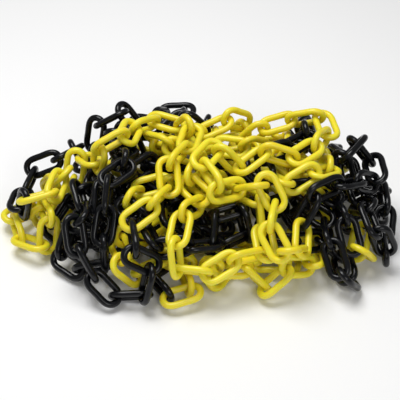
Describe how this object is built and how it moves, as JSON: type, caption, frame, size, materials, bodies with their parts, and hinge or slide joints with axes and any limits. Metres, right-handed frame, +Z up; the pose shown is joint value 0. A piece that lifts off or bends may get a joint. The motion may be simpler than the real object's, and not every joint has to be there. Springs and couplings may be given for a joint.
{
  "type": "plastic barrier chain",
  "caption": "Loose heap of plastic barrier chain: closed oval links threaded one through the next, in yellow and black stretches, with a free end that swings link by link.",
  "frame": {"origin": "on the ground, under the middle of the heap's box", "axes": "+Z up; +X along the heap's long side, to the right from the front; +Y to the back"},
  "size_m": [0.4766, 0.3358, 0.1426],
  "materials": {
    "yellow_plastic": "moulded through in yellow, satin gloss",
    "black_plastic": "moulded through in black, gloss"
  },
  "bodies": {
    "heap": {"run_01_black_a": "black_plastic", "run_01_black_b": "black_plastic", "run_02_yellow_a": "yellow_plastic", "run_02_yellow_b": "yellow_plastic", "run_03_black_a": "black_plastic", "run_03_black_b": "black_plastic", "run_04_yellow_a": "yellow_plastic", "run_04_yellow_b": "yellow_plastic", "run_05_black_a": "black_plastic", "run_05_black_b": "black_plastic", "run_06_yellow_a": "yellow_plastic", "run_06_yellow_b": "yellow_plastic", "run_07_black_a": "black_plastic", "run_07_black_b": "black_plastic", "run_08_yellow_a": "yellow_plastic", "run_08_yellow_b": "yellow_plastic", "run_09_black_a": "black_plastic", "run_09_black_b": "black_plastic", "run_10_yellow_a": "yellow_plastic", "run_10_yellow_b": "yellow_plastic", "run_11_black_a": "black_plastic", "run_11_black_b": "black_plastic", "run_12_yellow_a": "yellow_plastic", "run_12_yellow_b": "yellow_plastic", "end_link_01": "black_plastic", "end_link_02": "black_plastic", "end_link_03": "black_plastic"},
    "end_link_04": {"end_link_04": "black_plastic"},
    "end_link_05": {"end_link_05": "black_plastic"},
    "end_link_06": {"end_link_06": "black_plastic"},
    "end_link_07": {"end_link_07": "black_plastic"},
    "end_link_08": {"end_link_08": "black_plastic"},
    "end_link_09": {"end_link_09": "black_plastic"},
    "end_link_10": {"end_link_10": "black_plastic"},
    "end_link_11": {"end_link_11": "black_plastic"},
    "end_link_12": {"end_link_12": "black_plastic"},
    "end_link_13": {"end_link_13": "black_plastic"}
  },
  "joints": [
    {"name": "end_link_04_swing", "type": "hinge", "parent": "heap", "child": "end_link_04", "pos_m": [-0.1993, 0.03793, 0.05232], "axis": [-0.0703, -0.8524, 0.5181], "range_deg": [0, 35]},
    {"name": "end_link_05_swing", "type": "hinge", "parent": "end_link_04", "child": "end_link_05", "pos_m": [-0.1779, 0.04095, 0.06019], "axis": [-0.0703, -0.8524, 0.5181], "range_deg": [0, 70]},
    {"name": "end_link_06_swing", "type": "hinge", "parent": "end_link_05", "child": "end_link_06", "pos_m": [-0.15377, 0.07054, 0.05529], "axis": [0.8867, 0.3431, 0.3099], "range_deg": [0, 90]},
    {"name": "end_link_07_swing", "type": "hinge", "parent": "end_link_06", "child": "end_link_07", "pos_m": [-0.14847, 0.07634, 0.03368], "axis": [0.8867, 0.3431, 0.3099], "range_deg": [0, 30]},
    {"name": "end_link_08_swing", "type": "hinge", "parent": "end_link_07", "child": "end_link_08", "pos_m": [-0.12018, 0.09271, 0.02268], "axis": [-0.4644, -0.6645, 0.5855], "range_deg": [0, 45]},
    {"name": "end_link_09_swing", "type": "hinge", "parent": "end_link_08", "child": "end_link_09", "pos_m": [-0.10672, 0.09883, 0.0403], "axis": [-0.4644, -0.6645, 0.5855], "range_deg": [0, 45]},
    {"name": "end_link_10_swing", "type": "hinge", "parent": "end_link_09", "child": "end_link_10", "pos_m": [-0.07704, 0.12518, 0.0546], "axis": [-0.3218, -0.5697, 0.7562], "range_deg": [0, 75]},
    {"name": "end_link_11_swing", "type": "hinge", "parent": "end_link_10", "child": "end_link_11", "pos_m": [-0.05185, 0.12525, 0.06537], "axis": [0.8905, -0.4535, 0.0373], "range_deg": [0, 65]},
    {"name": "end_link_12_swing", "type": "hinge", "parent": "end_link_11", "child": "end_link_12", "pos_m": [-0.03759, 0.15241, 0.05512], "axis": [-0.1416, -0.1982, 0.9699], "range_deg": [0, 90]},
    {"name": "end_link_13_swing", "type": "hinge", "parent": "end_link_12", "child": "end_link_13", "pos_m": [-0.01426, 0.13796, 0.05557], "axis": [-0.9885, -0.0233, -0.1491], "range_deg": [0, 70]}
  ]
}
